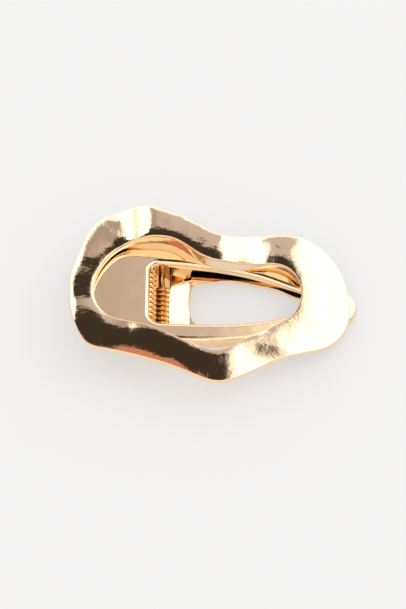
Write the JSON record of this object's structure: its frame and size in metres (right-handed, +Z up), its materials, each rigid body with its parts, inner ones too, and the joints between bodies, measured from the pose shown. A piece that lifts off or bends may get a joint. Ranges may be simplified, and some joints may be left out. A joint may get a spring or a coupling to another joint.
{
  "type": "beak hair clip",
  "caption": "Sprung beak hair clip: two pressed, windowed arms on a hinge pin, carrying a cast open ring with a wavy, poured-metal outline.",
  "frame": {"origin": "on the table plane, under the middle of the closed clip's bounding box", "axes": "+X along the clip from the thumb plates to the tip, +Y across the clip along the hinge pin, +Z up off the table"},
  "size_m": [0.0692, 0.046, 0.0148],
  "materials": {
    "ring_gold": "mirror polish, pale champagne gold plate over cast metal",
    "arm_gold": "bright gold plate over pressed steel",
    "spring_wire": "gold-plated spring wire",
    "solder": "satin, plated over"
  },
  "bodies": {
    "lower": {"lower_arm": "arm_gold", "hinge_pin": "arm_gold", "torsion_spring": "spring_wire"},
    "upper": {"upper_arm": "arm_gold", "ring_plaque": "ring_gold", "rear_solder": "solder", "front_solder": "solder"}
  },
  "joints": [
    {"name": "hinge", "type": "hinge", "parent": "lower", "child": "upper", "pos_m": [-0.0164, 0.00135, 0.00585], "axis": [0, -1, 0], "range_deg": [0, 25], "stiffness_Nm_per_rad": 0.12, "springref_deg": -28.65, "deforming": ["torsion_spring"]}
  ]
}
